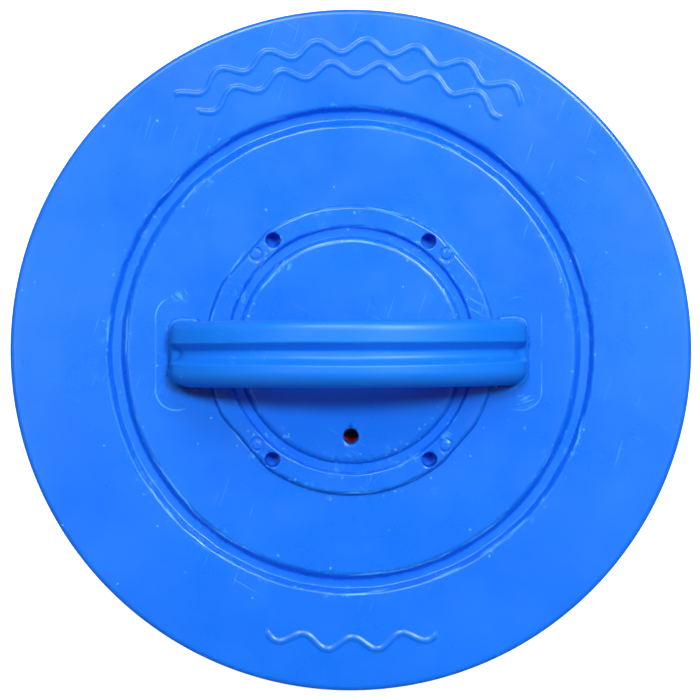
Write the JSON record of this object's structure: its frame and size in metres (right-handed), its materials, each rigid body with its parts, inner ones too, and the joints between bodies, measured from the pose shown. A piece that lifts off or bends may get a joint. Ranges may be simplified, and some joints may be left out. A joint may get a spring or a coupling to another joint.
{
  "type": "filter cartridge",
  "caption": "Pleated spa skimmer filter cartridge with cast end caps, an arched grab handle on top and a threaded outlet spigot below.",
  "frame": {"origin": "centre of the threaded spigot's end face, which the cartridge stands on", "axes": "+Z along the cartridge's axis from the spigot to the handle, X along the handle, and the cap's vent hole on the -Y side"},
  "size_m": [0.1508, 0.1508, 0.2604],
  "materials": {
    "cap_resin": "satin cast resin",
    "handle_resin": "satin moulded resin",
    "core_plastic": "moulded, slightly worn",
    "filter_fabric": "spunbonded polyester with an embossed grain",
    "seam_adhesive": "hot-melt bead",
    "band_strap": "ribbed strap",
    "adapter_plastic": "moulded"
  },
  "bodies": {
    "root": {"top_cap": "cap_resin", "handle": "handle_resin", "core_plug": "core_plastic", "core_upper": "core_plastic", "core_middle": "core_plastic", "core_lower": "core_plastic", "pleated_media": "filter_fabric", "media_seam": "seam_adhesive", "band_upper": "band_strap", "band_lower": "band_strap", "bottom_cap": "cap_resin", "threaded_adapter": "adapter_plastic"}
  },
  "joints": []
}
